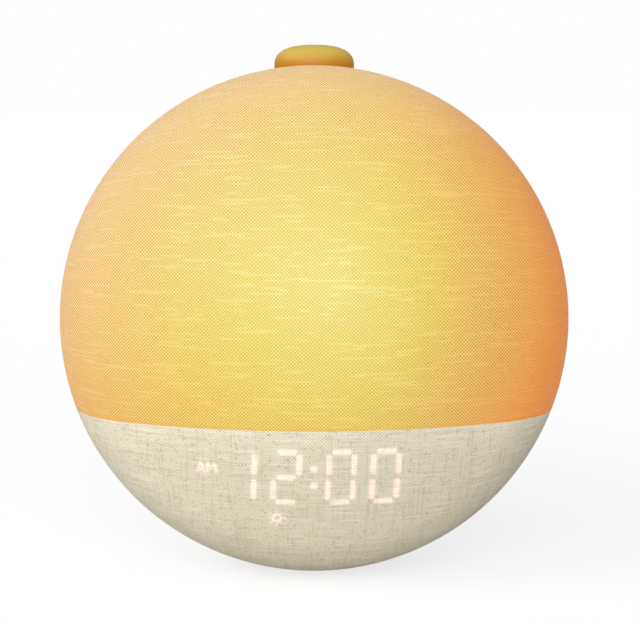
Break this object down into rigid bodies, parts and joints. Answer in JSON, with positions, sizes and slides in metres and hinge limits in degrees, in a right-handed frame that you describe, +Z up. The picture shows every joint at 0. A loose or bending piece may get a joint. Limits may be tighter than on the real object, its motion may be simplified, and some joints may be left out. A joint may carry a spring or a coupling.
{
  "type": "sunrise alarm clock",
  "caption": "Round domed bedside light and alarm clock: woven front that glows above a seam, digits shining through below it, push button on top, side wheels behind.",
  "frame": {"origin": "on the table, under the middle of the clock's box", "axes": "+X to the right as seen from the front, +Y towards the back, +Z up; the display faces -Y"},
  "size_m": [0.2, 0.104, 0.2093],
  "materials": {
    "woven_cover": "plain weave, matt",
    "milky_plastic": "translucent, satin",
    "shell_plastic": "fine moulded texture",
    "wheel_plastic": "satin",
    "button_plastic": "soft satin",
    "white_plastic": "satin white",
    "frame_plastic": "plain moulded",
    "black_plastic": "matt",
    "knob_plastic": "satin",
    "grille_metal": "powder coat",
    "circuit_board": "solder mask",
    "light_board_metal": "white solder mask",
    "led_lens": "clear dome",
    "steel": "zinc plated",
    "ballast_iron": "cast, painted",
    "foam": "foam",
    "paper_cone": "pressed pulp",
    "rubber": "matt",
    "lead_sheath": "soft sheath"
  },
  "bodies": {
    "case": {"fabric_cover": "woven_cover", "diffuser_dome": "milky_plastic", "digit_1_light_guides": "milky_plastic", "digit_2_light_guides": "milky_plastic", "digit_3_light_guides": "milky_plastic", "digit_4_light_guides": "milky_plastic", "colon_light_guides": "milky_plastic", "indicator_light_guides": "milky_plastic", "lower_front_shell": "shell_plastic", "rear_housing": "shell_plastic", "base_foot": "shell_plastic", "light_reflector": "white_plastic", "mid_frame": "frame_plastic", "button_bridge": "frame_plastic", "light_baffle": "black_plastic", "display_mask": "black_plastic", "speaker_frame": "black_plastic", "brightness_encoder": "black_plastic", "volume_encoder": "black_plastic", "button_switch": "black_plastic", "alarm_switch_body": "black_plastic", "main_board_components": "black_plastic", "power_inlet_tongue": "black_plastic", "speaker_grille": "grille_metal", "display_board": "circuit_board", "main_board": "circuit_board", "brightness_board": "circuit_board", "volume_board": "circuit_board", "button_board": "circuit_board", "light_board": "light_board_metal", "light_leds": "led_lens", "display_leds": "led_lens", "light_board_screws": "steel", "display_board_screws": "steel", "housing_screws": "steel", "speaker_screws": "steel", "main_board_screws": "steel", "encoder_board_screws": "steel", "button_bridge_screws": "steel", "button_board_screws": "steel", "base_screws": "steel", "button_spring": "steel", "power_inlet": "steel", "speaker_magnet": "steel", "base_weight": "ballast_iron", "speaker_gasket": "foam", "speaker_cone": "paper_cone", "speaker_dust_cap": "paper_cone", "base_pad": "rubber", "speaker_surround": "rubber", "internal_leads": "lead_sheath", "display_ribbon": "lead_sheath"},
    "button": {"button_cap": "button_plastic"},
    "plunger": {"button_plunger": "knob_plastic"},
    "brightness": {"brightness_wheel": "wheel_plastic", "brightness_shaft": "steel"},
    "volume": {"volume_wheel": "wheel_plastic", "volume_shaft": "steel"},
    "alarm_switch": {"alarm_switch_knob": "knob_plastic"}
  },
  "joints": [
    {"name": "button_press", "type": "slide", "parent": "case", "child": "button", "axis": [0, 0, -1], "range_m": [0, 0.0015], "stiffness_N_per_m": 600, "springref_m": -0.002, "deforming": ["button_spring"]},
    {"name": "plunger_press", "type": "slide", "parent": "case", "child": "plunger", "axis": [0, 0, -1], "range_m": [0, 0.0003]},
    {"name": "brightness_turn", "type": "hinge", "parent": "case", "child": "brightness", "pos_m": [-0.083, 0.002, 0.101], "axis": [0, 1, 0], "continuous": true},
    {"name": "volume_turn", "type": "hinge", "parent": "case", "child": "volume", "pos_m": [0.083, 0.002, 0.101], "axis": [0, 1, 0], "continuous": true},
    {"name": "alarm_switch_slide", "type": "slide", "parent": "case", "child": "alarm_switch", "axis": [1, 0, 0], "range_m": [0, 0.004]}
  ],
  "couplings": [
    {"joint": "plunger_press", "follows": "button_press", "ratio": 0.2}
  ]
}
